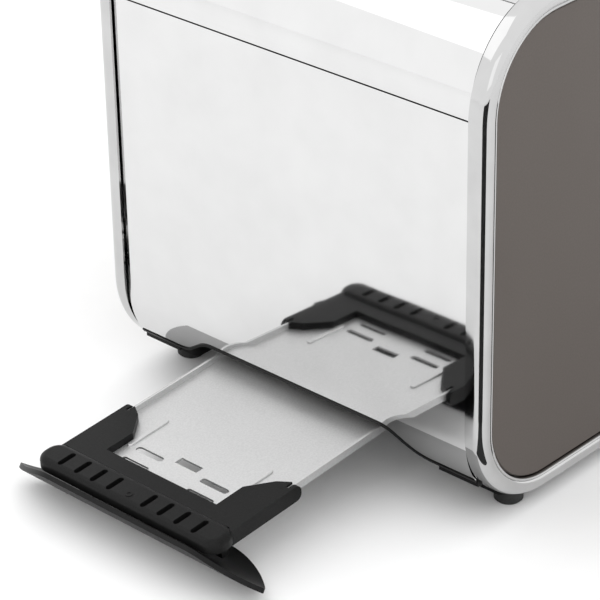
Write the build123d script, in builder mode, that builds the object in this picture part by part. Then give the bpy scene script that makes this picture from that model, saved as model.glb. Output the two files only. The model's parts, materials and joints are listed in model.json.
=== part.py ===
from build123d import *
from math import asin, cos, degrees, radians, sin, tan
import os

os.makedirs("parts", exist_ok=True)

# ---------------------------------------------------------------- driving sizes (mm)
# +Z is up, the crumb tray leaves towards -X, the lever stands at +X, the ground is Z = 0.
BODY_LENGTH = 290.0
BODY_DEPTH = 180.0
BODY_TOP = 193.7
BODY_CENTRE_X = 35.0
TRAY_END_X = BODY_CENTRE_X - BODY_LENGTH / 2
LEVER_END_X = BODY_CENTRE_X + BODY_LENGTH / 2

SHEET = 0.8
TOP_RADIUS = 34.5
LOW_RADIUS = 34.0
LOW_CENTRE_Z = 38.0
WALL_FOOT_Z = 19.3
WALL_HALF = 82.0
SEAM_Z = 157.4
SEAM_GAP = 0.6
COVER_REACH = 22.0
TOP_CENTRE_Z = BODY_TOP - TOP_RADIUS

FRAME_INNER_Y = 82.6
FRAME_PROUD = 1.6
FRAME_BOTTOM_Z = 5.3
FRAME_TOP_Z = 194.6
FRAME_WIDTH = 6.9
FRAME_CORNER = 37.0
PANEL_GAP = 0.45
PANEL_FACE_Y = 88.6
PANEL_THICKNESS = 3.0

ARCH_TOP_Z = 28.6
ARCH_TOP_HALF = 45.0
ARCH_FOOT_HALF = 58.0
TRIM_BAND = 1.2

FLOOR_Z = 15.5
FLOOR_THICKNESS = 2.5
FOOT_RADIUS = 5.3
FOOT_HEIGHT = 5.0
FOOT_SPOTS = [(x, y) for x in (TRAY_END_X + 28, LEVER_END_X - 28) for y in (-79.0, 79.0)]

SLOT_CENTRE_Y = 33.0
SLOT_LENGTH = 174.0
SLOT_WIDTH = 34.0
SLOT_CENTRE_X = 15.0

CHAMBER_X = (-82.0, 112.0)
CARD_X = (-78.0, 108.0)
CARD_Z = (52.0, 168.0)
OUTER_CARD_Y = 58.0
GUARD_FOOT_Z = 54.0
GUARD_TOP_Z = 164.0
GUARD_OFFSET = 14.5
RACK_Z = 100.0
ROD_X = 124.0
ROD_RADIUS = 2.5
RUNNING_CLEARANCE = 0.05

TRAY_Z = 22.5
TRAY_SLOPE = 3.82
TRAY_TRAVEL = 93.0
PAN_INNER = -171.0
PAN_OUTER = 69.9
PAN_HALF = 39.8
PAN_SHEET = 0.8
RIDGE_HALF = 44.2
RIDGE_IN = 73.0
RIDGE_OUT = 85.4
RIDGE_TOP = 4.2

DIAL_Y, DIAL_Z = 45.0, 78.0
BUTTON_Y = -41.0
BUTTON_HEIGHTS = {"cancel_button": 116.0, "reheat_button": 97.0, "defrost_button": 78.0}
BOARD_X = 160.0
BOARD_THICKNESS = 1.6

# The tray's own plane: x runs outwards along the pull, y runs towards -Y, z is up from the pan.
slope = radians(TRAY_SLOPE)
TRAY = Plane(
    origin=(TRAY_END_X, 0, TRAY_Z),
    x_dir=(-cos(slope), 0, -sin(slope)),
    z_dir=(-sin(slope), 0, cos(slope)),
)
TRAY_UP = Axis(TRAY.origin, TRAY.z_dir)
# The tray's side plane: x runs outwards along the pull, y points down.
TRAY_SIDE = Plane(origin=TRAY.origin, x_dir=TRAY.x_dir, z_dir=TRAY.y_dir)


def tray_level(height):
    """The tray's plane, raised by height."""
    return TRAY.offset(height)


def save(builder, node):
    """Labels a finished piece and writes it."""
    builder.part.label = node
    export_step(builder.part, f"parts/{node}.step")


# ---------------------------------------------------------------- outer shell
def curled_section(end_x, inward, top_z, outer, inner, foot_z):
    """A sheet that hangs down an end and curls under it, between two depths behind the skin."""
    centre_x = end_x + inward * LOW_RADIUS
    curl = asin((LOW_CENTRE_Z - foot_z) / LOW_RADIUS)

    def on_curl(radius, angle):
        return (centre_x - inward * radius * cos(angle), LOW_CENTRE_Z - radius * sin(angle))

    out_r, in_r = LOW_RADIUS - outer, LOW_RADIUS - inner
    with BuildSketch(Plane.XZ) as section:
        with BuildLine():
            Line((end_x + inward * inner, top_z), (end_x + inward * outer, top_z))
            Line((end_x + inward * outer, top_z), on_curl(out_r, 0))
            ThreePointArc(on_curl(out_r, 0), on_curl(out_r, curl / 2), on_curl(out_r, curl))
            Line(on_curl(out_r, curl), on_curl(in_r, curl))
            ThreePointArc(on_curl(in_r, curl), on_curl(in_r, curl / 2), on_curl(in_r, 0))
            Line(on_curl(in_r, 0), (end_x + inward * inner, top_z))
        make_face()
    return section.sketch


def arch_outline(drop):
    """The outline of the arch over the tray, lowered by drop, open towards the ground."""
    top, foot = ARCH_TOP_Z - drop, WALL_FOOT_Z - drop
    with BuildSketch(Plane.YZ.offset(TRAY_END_X - 5)) as outline:
        with BuildLine():
            FilletPolyline(
                (-95, foot), (-ARCH_FOOT_HALF, foot), (-ARCH_TOP_HALF, top),
                (ARCH_TOP_HALF, top), (ARCH_FOOT_HALF, foot), (95, foot),
                radius=13,
            )
            Polyline((95, foot), (95, 0), (-95, 0), (-95, foot))
        make_face()
    return outline.sketch


with BuildPart() as end_wall_tray_side:
    extrude(curled_section(TRAY_END_X, 1, SEAM_Z, 0, SHEET, WALL_FOOT_Z), amount=WALL_HALF, both=True)
    extrude(arch_outline(0), amount=30, mode=Mode.SUBTRACT)
save(end_wall_tray_side, "end_wall_tray_side")

with BuildPart() as tray_slot_trim:
    strip = curled_section(TRAY_END_X, 1, LOW_CENTRE_Z + 2, -0.35, 1.6, WALL_FOOT_Z - TRIM_BAND)
    extrude(strip, amount=WALL_HALF - 0.2, both=True)
    extrude(arch_outline(0), amount=30, mode=Mode.INTERSECT)
    extrude(arch_outline(TRIM_BAND), amount=30, mode=Mode.SUBTRACT)
save(tray_slot_trim, "tray_slot_trim")

PANEL_WINDOW = (104.0, 104.0)
CONTROL_CENTRE_Z = 100.0
GLAND_Y, GLAND_Z = 66.0, 48.0
GLAND_RADIUS = 6.0

with BuildPart() as end_wall_lever_side:
    extrude(curled_section(LEVER_END_X, -1, SEAM_Z, 0, SHEET, WALL_FOOT_Z), amount=WALL_HALF, both=True)
    with BuildSketch(Plane.YZ.offset(LEVER_END_X - 5)):
        with Locations((0, CONTROL_CENTRE_Z)):
            RectangleRounded(*PANEL_WINDOW, 8)
        with Locations((GLAND_Y, GLAND_Z)):
            Circle(GLAND_RADIUS)
    extrude(amount=10, mode=Mode.SUBTRACT)
save(end_wall_lever_side, "end_wall_lever_side")


def cover_section(end_x, inward, depth):
    """A corner cover from the seam round to the top plate."""
    centre_x = end_x + inward * TOP_RADIUS
    reach = radians(90) - asin((TOP_RADIUS - COVER_REACH) / TOP_RADIUS)

    def on_corner(radius, angle):
        return (centre_x - inward * radius * cos(angle), TOP_CENTRE_Z + radius * sin(angle))

    inner_r = TOP_RADIUS - depth
    low = SEAM_Z + SEAM_GAP
    with BuildSketch(Plane.XZ) as section:
        with BuildLine():
            Line((end_x + inward * depth, low), (end_x, low))
            Line((end_x, low), on_corner(TOP_RADIUS, 0))
            ThreePointArc(*[on_corner(TOP_RADIUS, part * reach) for part in (0, 0.5, 1)])
            Line(on_corner(TOP_RADIUS, reach), on_corner(inner_r, reach))
            ThreePointArc(*[on_corner(inner_r, part * reach) for part in (1, 0.5, 0)])
            Line(on_corner(inner_r, 0), (end_x + inward * depth, low))
        make_face()
    return section.sketch


COVERS = {"top_cover_tray_side": (TRAY_END_X, 1), "top_cover_lever_side": (LEVER_END_X, -1)}
for node, (end_x, inward) in COVERS.items():
    with BuildPart() as corner_cover:
        extrude(cover_section(end_x, inward, SHEET + 0.4), amount=WALL_HALF, both=True)
    save(corner_cover, node)

# The top plate spans the rest of the roof, its ends follow the corner's curve.
PLATE_HALF_X = BODY_LENGTH / 2 - COVER_REACH - 0.5
with BuildPart() as top_plate:
    with BuildSketch(Plane.XZ):
        edge_rise = TOP_RADIUS - (TOP_RADIUS ** 2 - (TOP_RADIUS - COVER_REACH - 0.5) ** 2) ** 0.5
        flat_half = BODY_LENGTH / 2 - TOP_RADIUS
        with BuildLine():
            for side in (-1, 1):
                for depth in (0, 1.2):
                    outer_point = (BODY_CENTRE_X + side * PLATE_HALF_X, BODY_TOP - edge_rise - depth)
                    flat_point = (BODY_CENTRE_X + side * flat_half, BODY_TOP - depth)
                    RadiusArc(outer_point, flat_point, side * -(TOP_RADIUS - depth))
                end_top = (BODY_CENTRE_X + side * PLATE_HALF_X, BODY_TOP - edge_rise)
                Line(end_top, (end_top[0], end_top[1] - 1.2))
            for depth in (0, 1.2):
                Line((BODY_CENTRE_X - flat_half, BODY_TOP - depth), (BODY_CENTRE_X + flat_half, BODY_TOP - depth))
        make_face()
    extrude(amount=WALL_HALF, both=True)
    with BuildSketch(Plane.XY.offset(BODY_TOP - 10)):
        with Locations((SLOT_CENTRE_X, -SLOT_CENTRE_Y), (SLOT_CENTRE_X, SLOT_CENTRE_Y)):
            RectangleRounded(SLOT_LENGTH, SLOT_WIDTH, 5)
    extrude(amount=20, mode=Mode.SUBTRACT)
save(top_plate, "top_plate")

SLOT_SIDES = {"front": -1, "rear": 1}
for side_name, side in SLOT_SIDES.items():
    with BuildPart() as slot_rim:
        with BuildSketch(Plane.XY.offset(BODY_TOP - 14)):
            with Locations((SLOT_CENTRE_X, side * SLOT_CENTRE_Y)):
                RectangleRounded(SLOT_LENGTH - 0.2, SLOT_WIDTH - 0.2, 4.9)
                RectangleRounded(SLOT_LENGTH - 2.6, SLOT_WIDTH - 2.6, 3.7, mode=Mode.SUBTRACT)
        extrude(amount=14.6)
        with BuildSketch(Plane.XY.offset(BODY_TOP)):
            with Locations((SLOT_CENTRE_X, side * SLOT_CENTRE_Y)):
                RectangleRounded(SLOT_LENGTH + 4, SLOT_WIDTH + 4, 7)
                RectangleRounded(SLOT_LENGTH - 2.6, SLOT_WIDTH - 2.6, 3.7, mode=Mode.SUBTRACT)
        extrude(amount=0.9)
    save(slot_rim, f"bread_slot_rim_{side_name}")


def frame_ring_sketch():
    """The side frame's outline with the panel's opening in it."""
    width = BODY_LENGTH + 2 * FRAME_PROUD
    height = FRAME_TOP_Z - FRAME_BOTTOM_Z
    middle_z = (FRAME_TOP_Z + FRAME_BOTTOM_Z) / 2
    with Locations((BODY_CENTRE_X, middle_z)):
        RectangleRounded(width, height, FRAME_CORNER)
        RectangleRounded(
            width - 2 * FRAME_WIDTH, height - 2 * FRAME_WIDTH, FRAME_CORNER - FRAME_WIDTH, mode=Mode.SUBTRACT
        )


def side_panel_sketch():
    """The painted panel's outline, a little smaller than the frame's opening."""
    width = BODY_LENGTH + 2 * FRAME_PROUD - 2 * (FRAME_WIDTH + PANEL_GAP)
    height = FRAME_TOP_Z - FRAME_BOTTOM_Z - 2 * (FRAME_WIDTH + PANEL_GAP)
    with Locations((BODY_CENTRE_X, (FRAME_TOP_Z + FRAME_BOTTOM_Z) / 2)):
        RectangleRounded(width, height, FRAME_CORNER - FRAME_WIDTH - PANEL_GAP)


# Plane.XZ faces -Y, so a positive offset is towards the front.
for side_name, side in SLOT_SIDES.items():
    outward = -side
    with BuildPart() as side_frame:
        with BuildSketch(Plane.XZ.offset(outward * FRAME_INNER_Y)):
            frame_ring_sketch()
        extrude(amount=outward * (BODY_DEPTH / 2 - FRAME_INNER_Y))
        outer_face = side_frame.faces().sort_by(Axis.Y)[-1 if side > 0 else 0]
        rims = outer_face.wires().sort_by(lambda wire: wire.length)
        fillet(rims[-1].edges(), radius=3.3)
        outer_face = side_frame.faces().filter_by(Plane.XZ).sort_by(Axis.Y)[-1 if side > 0 else 0]
        rims = outer_face.wires().sort_by(lambda wire: wire.length)
        fillet(rims[0].edges(), radius=2.4)
    save(side_frame, f"side_frame_{side_name}")

    with BuildPart() as side_panel:
        with BuildSketch(Plane.XZ.offset(outward * PANEL_FACE_Y)):
            side_panel_sketch()
        extrude(amount=-outward * PANEL_THICKNESS)
        face = side_panel.faces().filter_by(Plane.XZ).sort_by(Axis.Y)[-1 if side > 0 else 0]
        chamfer(face.edges(), length=0.5)
    save(side_panel, f"side_panel_{side_name}")

# ---------------------------------------------------------------- base and feet
NOTCH_HALF = 64.0
NOTCH_X = TRAY_END_X + 46
RAIL_X = (-58.0, 154.0)
RAIL_Y = (34.0, 37.5)
RAIL_CLEARANCE = PAN_SHEET + 0.35


def pan_floor_z(x, below):
    """Height of the tray's sliding line over the ground at x, less a clearance."""
    return TRAY_Z + (x - TRAY_END_X) * tan(slope) - below


with BuildPart() as base:
    with BuildSketch(Plane.XY.offset(FLOOR_Z)):
        with Locations((BODY_CENTRE_X, 0)):
            Rectangle(BODY_LENGTH - 15, 2 * WALL_HALF - 0.4)
        with Locations(((NOTCH_X + TRAY_END_X) / 2, 0)):
            Rectangle(NOTCH_X - TRAY_END_X, 2 * NOTCH_HALF, mode=Mode.SUBTRACT)
    extrude(amount=FLOOR_THICKNESS)
    with BuildSketch(Plane.XY.offset(FOOT_HEIGHT)):
        with Locations(*[(x, y - 4 if y > 0 else y + 4) for x, y in FOOT_SPOTS]):
            RectangleRounded(14, 13, 3)
    extrude(amount=FLOOR_Z - FOOT_HEIGHT)
    for y_sign in (-1, 1):
        with BuildSketch(Plane.XZ.offset(-y_sign * (RAIL_Y[0] + RAIL_Y[1]) / 2)):
            with BuildLine():
                Polyline(
                    (RAIL_X[0], FLOOR_Z + 1), (RAIL_X[1], FLOOR_Z + 1),
                    (RAIL_X[1], pan_floor_z(RAIL_X[1], RAIL_CLEARANCE)), (RAIL_X[0], pan_floor_z(RAIL_X[0], RAIL_CLEARANCE)),
                    close=True,
                )
            make_face()
        extrude(amount=(RAIL_Y[1] - RAIL_Y[0]) / 2, both=True)
    # louvres under the chamber let air in
    with BuildSketch(Plane.XY.offset(FLOOR_Z)):
        with Locations((40, 0)):
            with GridLocations(22, 100, 7, 2):
                SlotOverall(34, 4, rotation=90)
    extrude(amount=FLOOR_THICKNESS, mode=Mode.SUBTRACT)
save(base, "base")

with BuildPart() as feet:
    with BuildSketch(Plane.XY):
        with Locations(*FOOT_SPOTS):
            Circle(FOOT_RADIUS)
    extrude(amount=FOOT_HEIGHT)
    chamfer(feet.edges().group_by(Axis.Z)[0], length=0.8)
save(feet, "feet")

SCREW_SPOTS = [(x, y) for x in (TRAY_END_X + 13, LEVER_END_X - 13) for y in (-72, 72)]
with BuildPart() as base_screws:
    with Locations(*[(x, y, FLOOR_Z) for x, y in SCREW_SPOTS]):
        Cylinder(3.2, 1.6, align=(Align.CENTER, Align.CENTER, Align.MAX))
    with Locations(*[(x, y, FLOOR_Z - 1.6) for x, y in SCREW_SPOTS]):
        Box(4.4, 0.9, 1.2, mode=Mode.SUBTRACT)
        Box(0.9, 4.4, 1.2, mode=Mode.SUBTRACT)
save(base_screws, "base_screws")

# ---------------------------------------------------------------- crumb tray
RIM_HEIGHT = 2.2
with BuildPart() as tray_pan:
    with BuildSketch(TRAY):
        with Locations(((PAN_INNER + PAN_OUTER) / 2, 0)):
            Rectangle(PAN_OUTER - PAN_INNER, 2 * PAN_HALF)
    extrude(amount=-PAN_SHEET)
    with BuildSketch(TRAY):
        for edge in (-1, 1):
            with Locations(((PAN_INNER + 66) / 2, edge * (PAN_HALF - 0.5))):
                Rectangle(66 - PAN_INNER, 1.0)
        with Locations((PAN_INNER + 0.5, 0)):
            Rectangle(1.0, 2 * PAN_HALF)
    extrude(amount=RIM_HEIGHT)
    # two pairs of vent slots
    with BuildSketch(TRAY):
        for row in (55.8, 63.4):
            with Locations((row, -15.9), (row, 15.9)):
                SlotOverall(13.0, 2.7, rotation=90)
        with Locations((52.2, 0)):
            Rectangle(3.6, 10.5)
    extrude(amount=-PAN_SHEET, mode=Mode.SUBTRACT)
    # embossed ribs beside the arms
    with BuildSketch(TRAY):
        for edge in (-1, 1):
            with Locations((47.0, edge * 25.6)):
                SlotOverall(20.0, 2.2)
    extrude(amount=0.7)
    fillet(tray_pan.faces().filter_by(lambda face: 30 < face.area < 46).sort_by(TRAY_UP)[-2:].edges(), radius=0.45)
save(tray_pan, "tray_pan")

BLADE_OUT_R = LOW_RADIUS - 0.3
BLADE_IN_R = LOW_RADIUS - 2.1
BLADE_CENTRE = (TRAY_TRAVEL - LOW_RADIUS, LOW_CENTRE_Z - TRAY_Z)
BLADE_RIM_H = 0.4
BLADE_END_ANGLE = 74.0


def blade_point(radius, angle):
    """A point of the scoop's section in the tray's side plane, whose y axis points down."""
    out = BLADE_CENTRE[0] + radius * cos(radians(angle))
    height = BLADE_CENTRE[1] - radius * sin(radians(angle))
    return (out, -height)


with BuildPart() as finger_scoop:
    rim_angle = degrees(asin((BLADE_CENTRE[1] - BLADE_RIM_H) / BLADE_OUT_R))
    middle_angle = (rim_angle + BLADE_END_ANGLE) / 2
    with BuildSketch(TRAY_SIDE):
        with BuildLine():
            ThreePointArc(*[blade_point(BLADE_OUT_R, a) for a in (rim_angle, middle_angle, BLADE_END_ANGLE)])
            Line(blade_point(BLADE_OUT_R, BLADE_END_ANGLE), blade_point(BLADE_IN_R, BLADE_END_ANGLE))
            ThreePointArc(*[blade_point(BLADE_IN_R, a) for a in (BLADE_END_ANGLE, middle_angle, rim_angle)])
            Line(blade_point(BLADE_IN_R, rim_angle), blade_point(BLADE_OUT_R, rim_angle))
        make_face()
    extrude(amount=62, both=True)
    with BuildSketch(tray_level(-30)):
        with BuildLine():
            Line((92, -36), (92, 36))
            Spline((92, 36), (85.6, 47), (79.4, 60.0), tangents=((-0.45, 1), (-0.25, 1)))
            Spline((79.4, 60.0), (70.5, 50.0), (63.0, 36.0), tangents=((-1, -0.35), (-0.35, -1)))
            Line((63.0, 36.0), (60.0, 24.0))
            Line((60.0, 24.0), (60.0, -24.0))
            Line((60.0, -24.0), (63.0, -36.0))
            Spline((63.0, -36.0), (70.5, -50.0), (79.4, -60.0), tangents=((0.35, -1), (1, -0.35)))
            Spline((79.4, -60.0), (85.6, -47), (92, -36), tangents=((0.25, 1), (0.45, 1)))
        make_face()
    extrude(amount=60, mode=Mode.INTERSECT)
save(finger_scoop, "tray_finger_scoop")

ARM_TOP = 3.0
RIDGE_BOTTOM = -0.7
GRIP_SLOTS = (8.4, 16.4, 24.4, 32.6)
BOSS_OUT = 81.2
with BuildPart() as tray_handle:
    # the grip: a rounded bar across the front
    with BuildSketch(tray_level(RIDGE_BOTTOM)):
        with Locations(((RIDGE_IN + RIDGE_OUT) / 2, 0)):
            RectangleRounded(RIDGE_OUT - RIDGE_IN, 2 * RIDGE_HALF, 5.5)
    extrude(amount=RIDGE_TOP - RIDGE_BOTTOM)
    grip_top = tray_handle.faces().sort_by(TRAY_UP)[-1]
    fillet(grip_top.edges(), radius=2.4)
    # finger slots and the boss in the grip
    with BuildSketch(tray_level(RIDGE_TOP)):
        for edge in (-1, 1):
            with Locations(*[((RIDGE_IN + RIDGE_OUT) / 2 + 0.6, edge * u) for u in GRIP_SLOTS]):
                SlotOverall(8.0, 2.3)
    extrude(amount=-2.2, mode=Mode.SUBTRACT)
    # flange and wedge-shaped arms that lie on the pan
    with BuildSketch(tray_level(0.05)):
        for edge in (-1, 1):
            with BuildLine():
                Polyline(
                    (76, edge * 10), (66, edge * 10), (66, edge * 27), (53, edge * 27),
                    (43.5, edge * 34), (40.5, edge * 38.7), (76, edge * 38.7), close=True,
                )
            make_face()
        with Locations((71, 0)):
            Rectangle(10, 40)
    extrude(amount=ARM_TOP - 0.05)
    # side walls outside the pan's rims
    for edge in (-1, 1):
        with BuildSketch(TRAY_SIDE.offset(edge * 40.9)):
            with BuildLine():
                FilletPolyline((76, -ARM_TOP), (39.5, -ARM_TOP), (39.5, 3.0), (76, 3.0), radius=2.6)
                Line((76, 3.0), (76, -ARM_TOP))
            make_face()
        extrude(amount=0.9, both=True)
        with BuildSketch(tray_level(RIM_HEIGHT + 0.05)):
            with Locations((58.4, edge * 39.9)):
                Rectangle(29, 2.6)
        extrude(amount=ARM_TOP - RIM_HEIGHT - 0.05)
    with BuildSketch(tray_level(RIDGE_TOP - 1.5)):
        with Locations((BOSS_OUT, 0)):
            Circle(1.5)
            Circle(0.7, mode=Mode.SUBTRACT)
    extrude(amount=1.7)
    # web from the grip down to the scoop
    with BuildSketch(tray_level(-12.1)):
        with Locations((71.6, 0)):
            Rectangle(3.0, 70)
    extrude(amount=12.1 + RIDGE_BOTTOM)
save(tray_handle, "tray_handle")

# ---------------------------------------------------------------- toasting chamber
SLIT_Z = (50.0, 128.0)
PLATE_TOP_Z = 177.0
PLATE_FOOT_Z = {"chamber_plate_tray_side": 47.0, "chamber_plate_lever_side": 44.0}
LOWER_LUG_Z, UPPER_LUG_Z = 45.0, 172.0
for node, plate_x in {"chamber_plate_tray_side": CHAMBER_X[0], "chamber_plate_lever_side": CHAMBER_X[1]}.items():
    with BuildPart() as chamber_plate:
        foot_z = PLATE_FOOT_Z[node]
        with BuildSketch(Plane.YZ.offset(plate_x)):
            with Locations((0, (PLATE_TOP_Z + foot_z) / 2)):
                Rectangle(136, PLATE_TOP_Z - foot_z)
            with Locations((0, 112)):
                with GridLocations(0, 24, 1, 4):
                    SlotOverall(16, 3, mode=Mode.SUBTRACT)
            if node.endswith("lever_side"):
                for slit_y in (-SLOT_CENTRE_Y, SLOT_CENTRE_Y):
                    with Locations((slit_y, (SLIT_Z[0] + SLIT_Z[1]) / 2)):
                        Rectangle(4.0, SLIT_Z[1] - SLIT_Z[0], mode=Mode.SUBTRACT)
        extrude(amount=1.0)
        if node.endswith("lever_side"):
            # lugs that hold the guide rod and the springs
            for lug_z, lug_end in ((LOWER_LUG_Z, 147.0), (UPPER_LUG_Z, 130.0)):
                with Locations(((CHAMBER_X[1] + lug_end) / 2, 0, lug_z)):
                    Box(lug_end - CHAMBER_X[1], 74.0, 2.0)
                with Locations((ROD_X, 0, lug_z)):
                    Cylinder(ROD_RADIUS, 4.0, mode=Mode.SUBTRACT)
    save(chamber_plate, node)

for side_name, side in SLOT_SIDES.items():
    reflector_length = CHAMBER_X[1] - CHAMBER_X[0] - 2.0
    with BuildPart() as side_reflector:
        with Locations(((CHAMBER_X[0] + CHAMBER_X[1] + 1) / 2, side * 66.0, 112)):
            Box(reflector_length, 0.8, 128)
        with Locations(((CHAMBER_X[0] + CHAMBER_X[1] + 1) / 2, side * 63.0, 48.4)):
            Box(reflector_length, 6.0, 0.8)
        with Locations(((CHAMBER_X[0] + CHAMBER_X[1] + 1) / 2, side * 63.0, 175.6)):
            Box(reflector_length, 6.0, 0.8)
    save(side_reflector, f"side_reflector_{side_name}")

CARDS = {"front": (-OUTER_CARD_Y, (1,)), "centre": (0.0, (-1, 1)), "rear": (OUTER_CARD_Y, (-1,))}
WIRE_ROWS = 9
for card_name, (card_y, wire_faces) in CARDS.items():
    with BuildPart() as mica_card:
        with Locations(((CARD_X[0] + CARD_X[1]) / 2, card_y, (CARD_Z[0] + CARD_Z[1]) / 2)):
            Box(CARD_X[1] - CARD_X[0], 1.0, CARD_Z[1] - CARD_Z[0])
    save(mica_card, f"mica_card_{card_name}")
    with BuildPart() as heating_wire:
        for face in wire_faces:
            with Locations((SLOT_CENTRE_X, card_y + face * 0.8, (CARD_Z[0] + CARD_Z[1]) / 2)):
                for row in range(WIRE_ROWS):
                    with Locations((0, 0, (row - (WIRE_ROWS - 1) / 2) * 12.0)):
                        Box(176, 0.6, 1.8)
    save(heating_wire, f"heating_wire_{card_name}")

GUARD_WIRES = 10
for side_name, side in SLOT_SIDES.items():
    for face_name, face in {"inner": -1, "outer": 1}.items():
        guard_y = side * (SLOT_CENTRE_Y + face * GUARD_OFFSET)
        guard_middle = (GUARD_FOOT_Z + GUARD_TOP_Z) / 2
        with BuildPart() as bread_guard:
            with Locations((SLOT_CENTRE_X, guard_y, GUARD_FOOT_Z), (SLOT_CENTRE_X, guard_y, GUARD_TOP_Z)):
                Box(172, 2.0, 2.0)
            with Locations((SLOT_CENTRE_X, guard_y, guard_middle)):
                for wire in range(GUARD_WIRES):
                    with Locations(((wire - (GUARD_WIRES - 1) / 2) * 18.6, 0, 0)):
                        Box(1.6, 1.6, GUARD_TOP_Z - GUARD_FOOT_Z)
        save(bread_guard, f"bread_guard_{side_name}_{face_name}")

# ---------------------------------------------------------------- carriage and lever
for side_name, side in SLOT_SIDES.items():
    with BuildPart() as bread_rack:
        with Locations((20.0, side * SLOT_CENTRE_Y, RACK_Z)):
            Box(194.0, 2.0, 6.0)
        with Locations((SLOT_CENTRE_X, side * SLOT_CENTRE_Y, RACK_Z + 3.0)):
            for finger in range(8):
                with Locations(((finger - 3.5) * 22.0, 0, 0)):
                    Box(2.0, 14.0, 2.0)
    save(bread_rack, f"bread_rack_{side_name}")

with BuildPart() as carriage:
    with Locations((118.0, 0, RACK_Z)):
        Box(2.0, 78.0, 16.0)
    with Locations((ROD_X - 0.5, 0, RACK_Z)):
        Box(11.0, 16.0, 16.0)
    with Locations((ROD_X, 0, RACK_Z)):
        Cylinder(ROD_RADIUS + RUNNING_CLEARANCE, 20, mode=Mode.SUBTRACT)
    # spring hooks on both sides
    with Locations((121.0, -16.0, RACK_Z + 6), (121.0, 16.0, RACK_Z + 6)):
        Box(8.0, 5.0, 2.0)
save(carriage, "carriage")

with BuildPart() as lever_arm:
    with Locations((157.5, 0, RACK_Z)):
        Box(57.0, 4.0, 7.0)
save(lever_arm, "lever_arm")

with BuildPart() as lever_knob:
    with BuildSketch(Plane.YZ.offset(186.0)):
        with Locations((0, RACK_Z)):
            RectangleRounded(34, 15, 6)
    extrude(amount=11.0)
    fillet(lever_knob.faces().sort_by(Axis.X)[-1].edges(), radius=3.0)
save(lever_knob, "lever_knob")

with BuildPart() as guide_rod:
    with Locations((ROD_X, 0, LOWER_LUG_Z - 1.0)):
        Cylinder(ROD_RADIUS, UPPER_LUG_Z - LOWER_LUG_Z + 2.0, align=(Align.CENTER, Align.CENTER, Align.MIN))
save(guide_rod, "guide_rod")

SPRING_PITCH = 3.2
SPRING_LENGTH = 61.0
SPRING_FOOT_Z = RACK_Z + 8.6
for side_name, side in SLOT_SIDES.items():
    with BuildPart() as return_spring:
        with BuildLine() as coil:
            Helix(pitch=SPRING_PITCH, height=SPRING_LENGTH, radius=2.6, center=(ROD_X, side * 16.0, SPRING_FOOT_Z))
        with BuildSketch(Plane(origin=coil.line @ 0, z_dir=coil.line % 0)):
            Circle(0.45)
        sweep(is_frenet=True)
    save(return_spring, f"return_spring_{side_name}")

MAGNET_Y = -28.0
with BuildPart() as latch_magnet:
    with Locations((138.0, MAGNET_Y, (LOWER_LUG_Z + 1.0 + 58.2) / 2)):
        Box(14, 14, 58.2 - LOWER_LUG_Z - 1.0)
    with Locations((138.0, MAGNET_Y, 59.2)):
        Cylinder(4.0, 2.0)
save(latch_magnet, "latch_magnet")

with BuildPart() as armature:
    with Locations((131.0, MAGNET_Y, RACK_Z + 6.4)):
        Box(24.0, 12.0, 1.6)
    with Locations((120.0, MAGNET_Y, RACK_Z + 3.0)):
        Box(2.0, 12.0, 6.0)
save(armature, "armature_plate")

# ---------------------------------------------------------------- controls
with BuildPart() as control_board:
    with BuildSketch(Plane.YZ.offset(BOARD_X)):
        with Locations((0, 104)):
            Rectangle(116, 96)
        with Locations((0, 78)):
            Rectangle(12, 60, mode=Mode.SUBTRACT)
    extrude(amount=BOARD_THICKNESS)
save(control_board, "control_board")

with BuildPart() as tact_switches:
    for height in BUTTON_HEIGHTS.values():
        with Locations((BOARD_X + BOARD_THICKNESS + 1.8, BUTTON_Y, height)):
            Box(3.6, 6.0, 6.0)
save(tact_switches, "tact_switches")

with BuildPart() as potentiometer:
    with BuildSketch(Plane.YZ.offset(BOARD_X + BOARD_THICKNESS)):
        with Locations((DIAL_Y, DIAL_Z)):
            Circle(8.0)
            Circle(3.0 + RUNNING_CLEARANCE, mode=Mode.SUBTRACT)
    extrude(amount=8.0)
save(potentiometer, "potentiometer")

with BuildPart() as dial_shaft:
    with BuildSketch(Plane.YZ.offset(BOARD_X + BOARD_THICKNESS + 0.5)):
        with Locations((DIAL_Y, DIAL_Z)):
            Circle(3.0)
    extrude(amount=24.0)
save(dial_shaft, "dial_shaft")

with BuildPart() as browning_dial:
    with BuildSketch(Plane.YZ.offset(183.4)):
        with Locations((DIAL_Y, DIAL_Z)):
            Circle(16.0)
    extrude(amount=11.0)
    fillet(browning_dial.faces().sort_by(Axis.X)[-1].edges(), radius=1.6)
    with BuildSketch(Plane.YZ.offset(183.4)):
        with Locations((DIAL_Y, DIAL_Z)):
            Circle(3.0)
    extrude(amount=2.7, mode=Mode.SUBTRACT)
    with BuildSketch(Plane.YZ.offset(194.4)):
        with Locations((DIAL_Y, DIAL_Z + 10.5)):
            SlotOverall(7.0, 1.4, rotation=90)
    extrude(amount=-0.8, mode=Mode.SUBTRACT)
    with BuildSketch(Plane.YZ.offset(184.8)):
        with Locations((DIAL_Y, DIAL_Z)):
            with PolarLocations(16.3, 30):
                Circle(0.8)
    extrude(amount=8.4, mode=Mode.SUBTRACT)
save(browning_dial, "browning_dial")

for node, height in BUTTON_HEIGHTS.items():
    with BuildPart() as button:
        with BuildSketch(Plane.YZ.offset(180.5)):
            with Locations((BUTTON_Y, height)):
                RectangleRounded(18, 9, 4.2)
        extrude(amount=5.5)
        fillet(button.faces().sort_by(Axis.X)[-1].edges(), radius=1.2)
        with BuildSketch(Plane.YZ.offset(168.0)):
            with Locations((BUTTON_Y, height)):
                Circle(1.5)
        extrude(amount=12.5)
    save(button, node)

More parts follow.
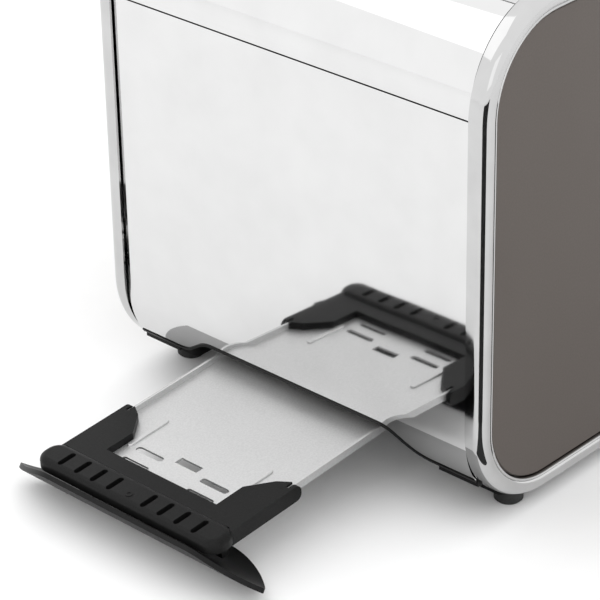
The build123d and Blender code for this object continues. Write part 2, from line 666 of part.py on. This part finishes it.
LEVER_SLIT_Z = (50.0, 108.5)
with BuildPart() as control_panel:
    with BuildSketch(Plane.YZ.offset(LEVER_END_X + 0.1)):
        with Locations((0, CONTROL_CENTRE_Z)):
            RectangleRounded(PANEL_WINDOW[0] + 8, PANEL_WINDOW[1] + 8, 12)
    extrude(amount=2.6)
    fillet(control_panel.faces().sort_by(Axis.X)[-1].edges(), radius=1.2)
    with BuildSketch(Plane.YZ.offset(LEVER_END_X - 3)):
        with Locations((0, CONTROL_CENTRE_Z)):
            RectangleRounded(PANEL_WINDOW[0] - 0.4, PANEL_WINDOW[1] - 0.4, 7.8)
    extrude(amount=3.2)
    with BuildSketch(Plane.YZ.offset(LEVER_END_X - 4)):
        with Locations((0, (LEVER_SLIT_Z[0] + LEVER_SLIT_Z[1]) / 2)):
            RectangleRounded(7.0, LEVER_SLIT_Z[1] - LEVER_SLIT_Z[0], 2.0)
        for height in BUTTON_HEIGHTS.values():
            with Locations((BUTTON_Y, height)):
                RectangleRounded(18.8, 9.8, 4.6)
        with Locations((DIAL_Y, DIAL_Z)):
            Circle(3.6)
    extrude(amount=10, mode=Mode.SUBTRACT)
save(control_panel, "control_panel")

with BuildPart() as cord_gland:
    with BuildSketch(Plane.YZ.offset(LEVER_END_X - 8)):
        with Locations((GLAND_Y, GLAND_Z)):
            Circle(GLAND_RADIUS)
            Circle(3.6, mode=Mode.SUBTRACT)
    extrude(amount=9)
    with BuildSketch(Plane.YZ.offset(LEVER_END_X)):
        with Locations((GLAND_Y, GLAND_Z)):
            Circle(GLAND_RADIUS + 2.5)
            Circle(3.6, mode=Mode.SUBTRACT)
    extrude(amount=2.6)
save(cord_gland, "cord_gland")

with BuildPart() as terminal_block:
    with Locations((140.0, 60.0, FLOOR_Z + FLOOR_THICKNESS + 6)):
        Box(18, 24, 12)
    with Locations((140.0, 60.0, FLOOR_Z + FLOOR_THICKNESS + 12)):
        with GridLocations(0, 7, 1, 3):
            Cylinder(2.0, 6.0, mode=Mode.SUBTRACT)
save(terminal_block, "terminal_block")
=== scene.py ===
import json
import math

import bpy
from mathutils import Matrix, Vector


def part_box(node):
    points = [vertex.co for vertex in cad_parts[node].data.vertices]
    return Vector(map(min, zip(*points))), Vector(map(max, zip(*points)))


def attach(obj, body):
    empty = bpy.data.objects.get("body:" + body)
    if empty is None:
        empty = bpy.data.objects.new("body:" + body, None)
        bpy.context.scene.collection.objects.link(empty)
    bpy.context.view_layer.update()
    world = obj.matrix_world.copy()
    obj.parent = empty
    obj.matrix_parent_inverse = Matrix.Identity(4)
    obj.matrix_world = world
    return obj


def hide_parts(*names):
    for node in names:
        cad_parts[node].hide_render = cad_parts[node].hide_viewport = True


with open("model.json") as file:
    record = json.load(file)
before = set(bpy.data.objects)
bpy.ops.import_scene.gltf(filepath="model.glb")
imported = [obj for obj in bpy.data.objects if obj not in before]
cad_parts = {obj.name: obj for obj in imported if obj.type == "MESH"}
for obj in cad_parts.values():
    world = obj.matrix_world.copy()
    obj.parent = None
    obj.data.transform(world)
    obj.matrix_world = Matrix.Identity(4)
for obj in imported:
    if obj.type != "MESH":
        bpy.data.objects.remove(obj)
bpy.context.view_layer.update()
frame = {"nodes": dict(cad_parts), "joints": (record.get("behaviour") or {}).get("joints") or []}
NODES = frame["nodes"]


# ---------------------------------------------------------------- materials
def node_material(name):
    """A fresh node material with its tree, its shader, and the object coordinates its textures use."""
    material = bpy.data.materials.new(name)
    material.use_nodes = True
    tree = material.node_tree
    shader = tree.nodes["Principled BSDF"]
    place = tree.nodes.new("ShaderNodeTexCoord")
    return material, tree, shader, place.outputs["Object"]


def noise(tree, place, scale, detail=4.0, stretch=(1, 1, 1)):
    """A noise texture in object space, stretched along an axis for a brushed grain."""
    mapping = tree.nodes.new("ShaderNodeMapping")
    mapping.inputs["Scale"].default_value = stretch
    texture = tree.nodes.new("ShaderNodeTexNoise")
    texture.inputs["Scale"].default_value = scale
    texture.inputs["Detail"].default_value = detail
    tree.links.new(place, mapping.inputs["Vector"])
    tree.links.new(mapping.outputs["Vector"], texture.inputs["Vector"])
    return texture.outputs["Fac"]


def spread(tree, value, low, high):
    """Maps a noise value to a range."""
    node = tree.nodes.new("ShaderNodeMapRange")
    node.inputs["From Min"].default_value = 0.3
    node.inputs["From Max"].default_value = 0.7
    node.inputs["To Min"].default_value = low
    node.inputs["To Max"].default_value = high
    tree.links.new(value, node.inputs["Value"])
    return node.outputs["Result"]


def tint(tree, value, dark, light):
    """Mixes two colours by a noise value."""
    ramp = tree.nodes.new("ShaderNodeValToRGB")
    ramp.color_ramp.elements[0].position = 0.3
    ramp.color_ramp.elements[1].position = 0.7
    ramp.color_ramp.elements[0].color = (*dark, 1)
    ramp.color_ramp.elements[1].color = (*light, 1)
    tree.links.new(value, ramp.inputs["Fac"])
    return ramp.outputs["Color"]


def bump(tree, shader, value, strength, depth):
    """Raises the surface by a noise value."""
    node = tree.nodes.new("ShaderNodeBump")
    node.inputs["Strength"].default_value = strength
    node.inputs["Distance"].default_value = depth
    tree.links.new(value, node.inputs["Height"])
    tree.links.new(node.outputs["Normal"], shader.inputs["Normal"])


def surface(name, dark, light, metallic, rough, grain, relief, stretch=(1, 1, 1), patch=18.0, coat=0.0,
            gloss=0.5):
    """One finish: two close tones, a roughness range broken by faint smudges, and a fine relief."""
    material, tree, shader, place = node_material(name)
    shader.inputs["Metallic"].default_value = metallic
    shader.inputs["Coat Weight"].default_value = coat
    shader.inputs["Specular IOR Level"].default_value = gloss
    smudge = noise(tree, place, patch, 3.0)
    fine = noise(tree, place, grain, 5.0, stretch)
    tree.links.new(tint(tree, fine, dark, light), shader.inputs["Base Color"])
    tree.links.new(spread(tree, smudge, *rough), shader.inputs["Roughness"])
    bump(tree, shader, fine, *relief)
    return material


def grey(level):
    return (level, level, level)


POLISHED = surface("polished_steel", grey(0.66), grey(0.69), 1.0, (0.03, 0.055), 60,
                   (0.02, 0.00002))
CHROME = surface("chromed_frame", grey(0.50), grey(0.55), 1.0, (0.04, 0.08), 80, (0.02, 0.00002))
TOP_STEEL = surface("brushed_top", grey(0.56), grey(0.66), 1.0, (0.2, 0.3), 900,
                    (0.12, 0.00005), (0.02, 1, 1))
PAINT = surface("taupe_paint", (0.070, 0.057, 0.049), (0.082, 0.067, 0.058), 0.25, (0.34, 0.42), 1400,
                (0.10, 0.00004))
BLACK = surface("black_plastic", grey(0.006), grey(0.011), 0.0, (0.34, 0.46), 1800, (0.22, 0.00006),
                gloss=0.12)
GLOSS = surface("gloss_black", grey(0.008), grey(0.014), 0.0, (0.09, 0.16), 500, (0.03, 0.00002), coat=0.5)
PAN_STEEL = surface("pan_steel", grey(0.62), grey(0.70), 0.75, (0.36, 0.5), 1500, (0.10, 0.00004))
PLATED = surface("plated_steel", grey(0.46), grey(0.62), 1.0, (0.25, 0.45), 240, (0.12, 0.00006), patch=60)
RUBBER = surface("foot_rubber", grey(0.012), grey(0.022), 0.0, (0.6, 0.75), 900, (0.2, 0.0001))
MICA = surface("mica", (0.42, 0.36, 0.26), (0.66, 0.60, 0.47), 0.0, (0.3, 0.5), 120, (0.2, 0.0001), patch=90)
WIRE = surface("resistance_wire", (0.10, 0.08, 0.07), (0.22, 0.18, 0.15), 0.9, (0.4, 0.6), 300,
               (0.1, 0.00005))
BOARD = surface("board_green", (0.010, 0.075, 0.030), (0.018, 0.12, 0.05), 0.0, (0.25, 0.4), 400,
                (0.1, 0.00003))

FINISHES = {
    "end_wall": POLISHED, "top_cover": POLISHED, "side_frame": CHROME, "top_plate": TOP_STEEL,
    "side_panel": PAINT, "tray_pan": PAN_STEEL, "tray_": BLACK, "base_screws": PLATED, "base": BLACK,
    "feet": RUBBER, "bread_slot_rim": BLACK, "potentiometer": BLACK, "tact": BLACK, "cord_gland": BLACK,
    "terminal": BLACK, "control_panel": GLOSS, "lever_knob": GLOSS, "browning_dial": GLOSS,
    "cancel": GLOSS, "reheat": GLOSS, "defrost": GLOSS, "mica": MICA, "heating_wire": WIRE,
    "control_board": BOARD,
}


def finish_of(node):
    """The finish whose key starts the node's name, or plated steel."""
    for key, material in FINISHES.items():
        if node.startswith(key):
            return material
    return PLATED


for node_name, obj in NODES.items():
    obj.data.materials.clear()
    obj.data.materials.append(finish_of(node_name))


# ---------------------------------------------------------------- pieces with a finer mesh
MM = 0.001
SHARP_ANGLE = math.radians(35)
wall_low, wall_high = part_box("end_wall_tray_side")
cover_low, cover_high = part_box("top_cover_tray_side")
frame_low, frame_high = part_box("side_frame_front")
LOW_RADIUS = 34.0 * MM
LOW_CENTRE_Z = 38.0 * MM
TOP_RADIUS = 34.5 * MM
SHEET = 0.8 * MM
COVER_SHEET = 1.2 * MM
COVER_REACH = 22.0 * MM


def mesh_piece(name, vertices, faces, material, body, node=None):
    """Makes a smooth piece that rides on a body and may stand for a CAD node."""
    mesh = bpy.data.meshes.new(name)
    mesh.from_pydata([tuple(v) for v in vertices], [], faces)
    mesh.validate()
    mesh.polygons.foreach_set("use_smooth", [True] * len(mesh.polygons))
    mesh.set_sharp_from_angle(angle=SHARP_ANGLE)
    mesh.materials.append(material)
    piece = bpy.data.objects.new(name, mesh)
    bpy.context.scene.collection.objects.link(piece)
    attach(piece, body)
    if node:
        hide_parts(node)
    return piece


def grid_faces(columns, rows, close_columns=False, close_rows=False):
    """Quads of a grid stored column by column."""
    faces = []
    for i in range(columns if close_columns else columns - 1):
        for j in range(rows if close_rows else rows - 1):
            a, b = i * rows, ((i + 1) % columns) * rows
            k = (j + 1) % rows
            faces.append((a + j, b + j, b + k, a + k))
    return faces


ARCH_TOP_Z, WALL_FOOT_Z = 28.6 * MM, 19.3 * MM
ARCH_TOP_HALF, ARCH_FOOT_HALF = 45.0 * MM, 58.0 * MM
ARCH_BEND = 13.0 * MM
ARCH_TURN = math.atan2(ARCH_TOP_Z - WALL_FOOT_Z, ARCH_FOOT_HALF - ARCH_TOP_HALF)


def arch_edge(y):
    """Height of the end wall's lower edge: flat over the tray, a slope, flat feet, with rounded bends."""
    tangent, across = ARCH_BEND * math.tan(ARCH_TURN / 2), abs(y)
    bend_start, bend_end = ARCH_TOP_HALF - tangent, ARCH_FOOT_HALF + tangent
    if across <= bend_start:
        return ARCH_TOP_Z
    if across >= bend_end:
        return WALL_FOOT_Z
    if across < ARCH_TOP_HALF + tangent * math.cos(ARCH_TURN):
        return ARCH_TOP_Z - ARCH_BEND + math.sqrt(ARCH_BEND ** 2 - (across - bend_start) ** 2)
    if across > ARCH_FOOT_HALF - tangent * math.cos(ARCH_TURN):
        return WALL_FOOT_Z + ARCH_BEND - math.sqrt(ARCH_BEND ** 2 - (bend_end - across) ** 2)
    return ARCH_TOP_Z - (across - ARCH_TOP_HALF) * math.tan(ARCH_TURN)


def skin_x(z, depth):
    """X of the end wall at a height, a depth behind its skin."""
    if z >= LOW_CENTRE_Z:
        return wall_low.x + depth
    radius = LOW_RADIUS - depth
    return wall_low.x + LOW_RADIUS - math.sqrt(max(radius ** 2 - (LOW_CENTRE_Z - z) ** 2, 0))


def end_wall():
    """The polished end wall, one closed sheet round its skin and its inner face."""
    columns, curl_rows = 97, 22
    vertices, loop = [], 2 * (curl_rows + 1)
    for i in range(columns):
        y = wall_low.y + (wall_high.y - wall_low.y) * i / (columns - 1)
        edge = arch_edge(y)
        curl = [LOW_CENTRE_Z + (edge - LOW_CENTRE_Z) * j / (curl_rows - 1) for j in range(curl_rows)]
        heights = [wall_high.z] + curl
        vertices += [(skin_x(z, 0), y, z) for z in heights]
        vertices += [(skin_x(z, SHEET), y, z) for z in reversed(heights)]
    faces = grid_faces(columns, loop, close_rows=True)
    last = (columns - 1) * loop
    for j in range(curl_rows):
        faces.append((j + 1, j, loop - 1 - j, loop - 2 - j))
        faces.append((last + j, last + j + 1, last + loop - 2 - j, last + loop - 1 - j))
    mesh_piece("polished_end_wall", vertices, faces, POLISHED, "shell", "end_wall_tray_side")


def corner_cover(name, node, end_x, inward, low_z):
    """A top cover: a fine arc swept from one side to the other."""
    steps, reach = 40, math.acos((TOP_RADIUS - COVER_REACH) / TOP_RADIUS)
    centre_z = cover_high.z - TOP_RADIUS * math.sin(reach)
    section = [(end_x, low_z)]
    for depth, order in ((0, range(steps + 1)), (COVER_SHEET, range(steps, -1, -1))):
        radius = TOP_RADIUS - depth
        for k in order:
            angle = reach * k / steps
            x = end_x + inward * (TOP_RADIUS - radius * math.cos(angle))
            section.append((x, centre_z + radius * math.sin(angle)))
    section.append((end_x + inward * COVER_SHEET, low_z))
    count = len(section)
    vertices = [(x, y, z) for y in (cover_low.y, cover_high.y) for x, z in section]
    faces = grid_faces(2, count, close_rows=True)
    half = count // 2
    for first in (0, count):
        last = first + count - 1
        faces += [(first + k, first + k + 1, last - 1 - k, last - k) for k in range(half - 1)]
    mesh_piece(name, vertices, faces, POLISHED, "shell", node)


FRAME_CORNER = 37.0 * MM
FRAME_WIDTH = 6.9
FRAME_BACK = 0.2
RAIL_WIDTH, RAIL_HEIGHT = 3.6, 3.8
RAIL_STEPS = 12


def frame_section():
    """The side frame's section in millimetres: a bulging rail, a groove and a thin lip."""
    turns = [math.pi / 2 * k / RAIL_STEPS for k in range(RAIL_STEPS + 1)]
    points = [(0.0, FRAME_BACK)]
    points += [(RAIL_WIDTH - RAIL_WIDTH * math.cos(a), RAIL_WIDTH + RAIL_HEIGHT * math.sin(a)) for a in turns]
    points += [(4.4, 7.36), (5.1, 7.2), (5.6, 6.95), (5.8, 6.6)]
    points += [(6.0, 6.85), (6.4, 6.95), (6.75, 6.8), (FRAME_WIDTH, 6.4)]
    points += [(FRAME_WIDTH, FRAME_BACK)]
    return [(w * MM, d * MM) for w, d in points]


def side_frame(name, node, side):
    """A chromed ring: its section swept round the rounded outline."""
    path, steps = [], 28
    low, high = frame_low, frame_high
    corners = (
        (high.x - FRAME_CORNER, high.z - FRAME_CORNER, 0), (low.x + FRAME_CORNER, high.z - FRAME_CORNER, 1),
        (low.x + FRAME_CORNER, low.z + FRAME_CORNER, 2), (high.x - FRAME_CORNER, low.z + FRAME_CORNER, 3),
    )
    for cx, cz, quarter in corners:
        for k in range(steps + 1):
            angle = math.pi / 2 * (quarter + k / steps)
            path.append((cx, cz, math.cos(angle), math.sin(angle)))
    section = frame_section()
    inner_y = abs(frame_high.y)
    vertices = []
    for cx, cz, nx, nz in path:
        for width, depth in section:
            radius = FRAME_CORNER - width
            vertices.append((cx + radius * nx, side * (inner_y + depth), cz + radius * nz))
    faces = grid_faces(len(path), len(section), close_columns=True, close_rows=True)
    mesh_piece(name, vertices, faces, CHROME, "shell", node)


TRAY_TRAVEL = 93.0
TRAY_Z = 22.5 * MM
slide = next(joint for joint in frame["joints"] if joint["name"] == "crumb_tray_slide")
TRAY_OUT = Vector(slide["axis"]).normalized()
TRAY_UP = Vector((TRAY_OUT.z, 0, -TRAY_OUT.x))
TRAY_ORIGIN = Vector((wall_low.x, 0, TRAY_Z))


def on_tray(out, across, height):
    """A point in the tray's own axes, in millimetres: out along the pull, across, and up."""
    return TRAY_ORIGIN + TRAY_OUT * (out * MM) + Vector((0, across * MM, 0)) + TRAY_UP * (height * MM)


# The scoop in the tray's axes, in millimetres: outwards at the middle and at the tips, and across.
SCOOP_RADII = (33.7, 31.9)
SCOOP_TIP = 60.0
SCOOP_FRONT, SCOOP_FRONT_TIP, SCOOP_FRONT_FLAT = 89.2, 79.8, 34.0
SCOOP_BACK, SCOOP_BACK_TIP, SCOOP_BACK_FLAT = 62.0, 79.2, 26.0


def finger_scoop():
    """The scoop under the grip: a curved shell with a straight front rim and two pointed ends."""
    centre_out = TRAY_TRAVEL - LOW_RADIUS / MM
    centre_h = (LOW_CENTRE_Z - TRAY_Z) / MM
    outer_r, inner_r = SCOOP_RADII
    columns, rows = 121, 25

    def front(u):
        sweep = max(0.0, (abs(u) - SCOOP_FRONT_FLAT) / (SCOOP_TIP - SCOOP_FRONT_FLAT))
        return SCOOP_FRONT - (SCOOP_FRONT - SCOOP_FRONT_TIP) * sweep ** 1.8

    def back(u):
        sweep = max(0.0, (abs(u) - SCOOP_BACK_FLAT) / (SCOOP_TIP - SCOOP_BACK_FLAT))
        return SCOOP_BACK + (SCOOP_BACK_TIP - SCOOP_BACK) * sweep ** 2

    def angle_at(out, radius):
        return math.acos((out - centre_out) / radius)

    vertices = []
    for i in range(columns):
        u = -SCOOP_TIP + 2 * SCOOP_TIP * i / (columns - 1)
        shell = []
        for radius in (outer_r, inner_r):
            start, end = angle_at(front(u), outer_r), angle_at(back(u), outer_r)
            turn = [start + (end - start) * j / (rows - 1) for j in range(rows)]
            section = [(centre_out + radius * math.cos(a), centre_h - radius * math.sin(a)) for a in turn]
            shell.append([on_tray(out, u, height) for out, height in section])
        vertices += shell[0] + shell[1][::-1]
    faces = grid_faces(columns, 2 * rows, close_rows=True)
    for first in (0, (columns - 1) * 2 * rows):
        last = first + 2 * rows - 1
        faces += [(first + j, first + j + 1, last - 1 - j, last - j) for j in range(rows - 1)]
    scoop = mesh_piece("finger_scoop_shell", vertices, faces, BLACK, "crumb_tray", "tray_finger_scoop")
    rim = scoop.modifiers.new("rim", "BEVEL")
    rim.width = 0.35 * MM
    rim.segments = 2
    rim.limit_method = "ANGLE"


end_wall()
corner_cover("polished_cover_tray_side", "top_cover_tray_side", cover_low.x, 1, cover_low.z)
lever_end_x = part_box("top_cover_lever_side")[1].x
corner_cover("polished_cover_lever_side", "top_cover_lever_side", lever_end_x, -1, cover_low.z)
side_frame("chromed_frame_front", "side_frame_front", -1)
side_frame("chromed_frame_rear", "side_frame_rear", 1)
finger_scoop()

# ---------------------------------------------------------------- floor, light and camera
FLOOR_SIZE = 8.0
bpy.ops.mesh.primitive_plane_add(size=FLOOR_SIZE)
floor = bpy.context.object
floor.name = "studio_floor"
floor_material, floor_tree, floor_shader, floor_place = node_material("studio_floor")
floor_shader.inputs["Roughness"].default_value = 0.9
floor_grain = noise(floor_tree, floor_place, 30)
floor_tree.links.new(tint(floor_tree, floor_grain, grey(0.93), grey(0.95)), floor_shader.inputs["Base Color"])
floor.data.materials.append(floor_material)

world = bpy.data.worlds.new("studio")
world.use_nodes = True
world.node_tree.nodes["Background"].inputs["Color"].default_value = (1.0, 1.0, 1.0, 1)
world.node_tree.nodes["Background"].inputs["Strength"].default_value = 1.3
bpy.context.scene.world = world
bpy.context.scene.view_settings.view_transform = "Standard"


def softbox(name, place, target, size, power):
    """A square soft light aimed at a point."""
    data = bpy.data.lights.new(name, "AREA")
    data.size = size
    data.energy = power
    light = bpy.data.objects.new(name, data)
    light.location = place
    light.rotation_euler = (Vector(target) - Vector(place)).to_track_quat("-Z", "Y").to_euler()
    bpy.context.scene.collection.objects.link(light)


softbox("key_softbox", (-0.6, 0.7, 1.3), (0, 0, 0.1), 0.9, 1.2)
softbox("fill_softbox", (-1.2, -0.9, 0.8), (0, 0, 0.1), 0.8, 0.6)


def flag(name, centre, size, turn, level):
    """A studio flag: a card that only reflections see, a painted reflection that draws dark bands in the
    polished steel.
    """
    bpy.ops.mesh.primitive_plane_add(size=1, location=centre, rotation=turn)
    card = bpy.context.object
    card.name = name
    card.scale = (size[0], size[1], 1)
    material, tree, shader, place = node_material(name)
    shader.inputs["Roughness"].default_value = 1.0
    tone = tint(tree, noise(tree, place, 3), grey(level * 0.9), grey(level * 1.1))
    tree.links.new(tone, shader.inputs["Base Color"])
    card.data.materials.append(material)
    card.visible_camera = False
    card.visible_diffuse = False
    card.visible_shadow = False


UPRIGHT = math.radians(90)
# Two near-black cards off the front corner, seen only in reflections: painted dark reflection bands in the
# chromed frame; the ground card carries the band down where the rays would meet the floor.
flag("corner_flag", (-0.160, -0.140, 0.08), (0.06, 0.16), (UPRIGHT, 0, math.radians(-45)), 0.03)
flag("corner_ground_flag", (-0.142, -0.122, 0.0012), (0.06, 0.05), (0, 0, math.radians(45)), 0.03)
# A mid-grey card on the floor under the toaster, seen only in reflections: a painted shadow of the floor
# beneath the toaster, mirrored grey in the end wall's lower curl.
flag("ground_flag", (0.0155, 0.0, 0.0010), (0.30, 0.17), (0, 0, 0), 0.45)

# The camera stands off the tray end and the front side, about 29 degrees above the horizon.
CAMERA_PLACE = (-0.7388, -0.5981, 0.5395)
CAMERA_RIGHT = Vector((0.67816, -0.73469, -0.01830))
CAMERA_FORWARD = Vector((0.63817, 0.60104, -0.48113))
CAMERA_LENS = 167.7

camera_data = bpy.data.cameras.new("camera")
camera_data.lens = CAMERA_LENS
camera_data.sensor_width = 36.0
camera_data.clip_start = 0.01
camera = bpy.data.objects.new("camera", camera_data)
camera_up = CAMERA_RIGHT.cross(CAMERA_FORWARD)
axes = Matrix((CAMERA_RIGHT, camera_up, -CAMERA_FORWARD)).transposed()
camera.matrix_world = Matrix.Translation(CAMERA_PLACE) @ axes.to_4x4()
bpy.context.scene.collection.objects.link(camera)
bpy.context.scene.camera = camera
